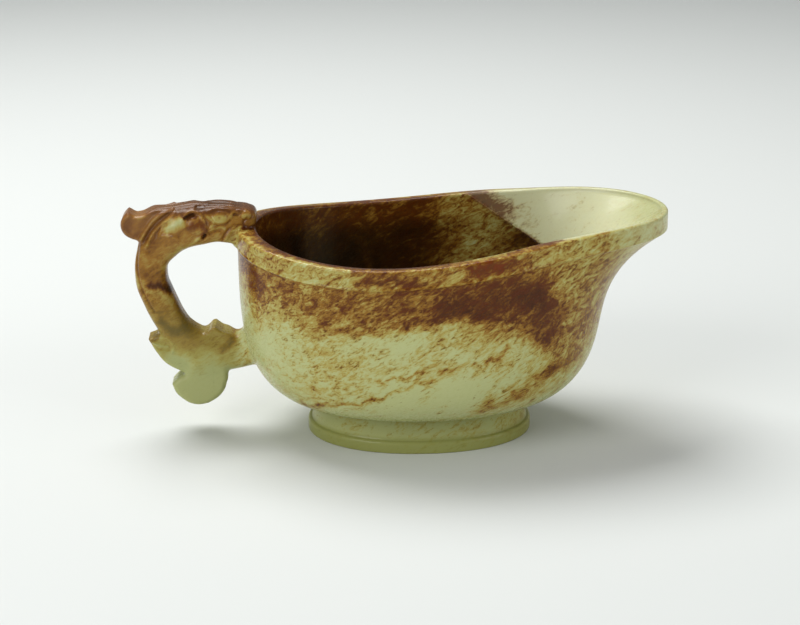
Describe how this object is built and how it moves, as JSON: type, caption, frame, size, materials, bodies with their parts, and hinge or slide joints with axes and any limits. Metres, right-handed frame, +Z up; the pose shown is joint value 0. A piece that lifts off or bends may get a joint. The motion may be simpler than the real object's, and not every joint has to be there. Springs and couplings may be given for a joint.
{
  "type": "handled pouring vessel",
  "caption": "Carved jade pouring vessel: an oval bowl with a raised, flared spout, a low oval foot ring and a dragon handle with a finger loop",
  "frame": {"origin": "on the surface the foot stands on, under the middle of the vessel's length and width", "axes": "+X from the handle to the spout, +Y across the bowl to the left of someone looking along +X, +Z up"},
  "size_m": [0.1666, 0.088, 0.0729],
  "materials": {
    "celadon_jade": "polished celadon-green jade, stained russet towards the rim",
    "olive_jade": "polished olive-green jade",
    "russet_jade": "polished jade with russet-brown skin",
    "pale_jade": "polished pale buff-green jade"
  },
  "bodies": {
    "root": {"bowl": "celadon_jade", "foot_ring": "olive_jade", "dragon_head": "russet_jade", "dragon_mane": "russet_jade", "dragon_neck": "russet_jade", "dragon_body": "pale_jade", "tail_bracket": "pale_jade", "tail_leaf": "pale_jade", "tail_lobe": "pale_jade"}
  },
  "joints": []
}
